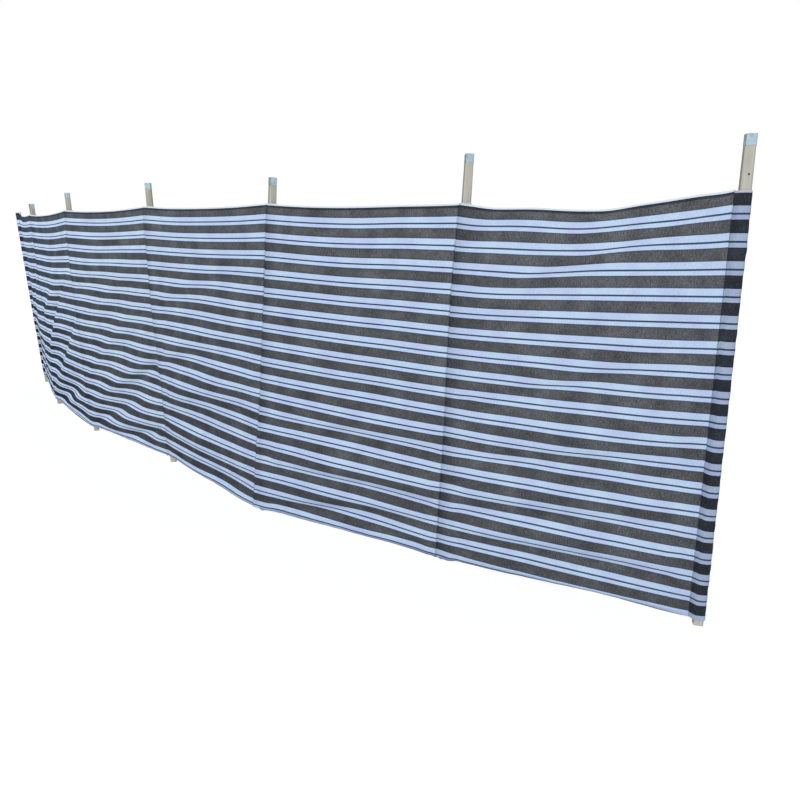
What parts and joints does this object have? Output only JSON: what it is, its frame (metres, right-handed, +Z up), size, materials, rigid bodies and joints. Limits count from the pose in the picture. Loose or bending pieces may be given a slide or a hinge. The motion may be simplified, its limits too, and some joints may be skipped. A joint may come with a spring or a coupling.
{
  "type": "beach windbreak",
  "caption": "Striped cloth windbreak in bays on square softwood poles with galvanised caps, each pole in a sewn pocket; stands in a shallow curve, driven into sand or grass.",
  "frame": {"origin": "the foot of the middle pole (pole_4), where its axis meets the ground", "axes": "+X runs along the row from its left end to its right end as seen from the front, -Y is the front, +Z is up"},
  "size_m": [5.817, 0.4781, 1.592],
  "materials": {
    "striped_cloth": "woven, horizontal charcoal and pale blue-white stripes",
    "softwood": "planed, untreated, weathered pale",
    "galvanised_steel": "galvanised, satin"
  },
  "bodies": {
    "root": {"cloth_panel_1": "striped_cloth", "cloth_panel_2": "striped_cloth", "cloth_panel_3": "striped_cloth", "cloth_panel_4": "striped_cloth", "cloth_panel_5": "striped_cloth", "cloth_panel_6": "striped_cloth", "pole_1": "softwood", "pole_cap_1": "galvanised_steel", "pole_pocket_1": "striped_cloth", "pole_2": "softwood", "pole_cap_2": "galvanised_steel", "pole_pocket_2": "striped_cloth", "pole_3": "softwood", "pole_cap_3": "galvanised_steel", "pole_pocket_3": "striped_cloth", "pole_4": "softwood", "pole_cap_4": "galvanised_steel", "pole_pocket_4": "striped_cloth", "pole_5": "softwood", "pole_cap_5": "galvanised_steel", "pole_pocket_5": "striped_cloth", "pole_6": "softwood", "pole_cap_6": "galvanised_steel", "pole_pocket_6": "striped_cloth", "pole_7": "softwood", "pole_cap_7": "galvanised_steel", "pole_pocket_7": "striped_cloth"}
  },
  "joints": []
}
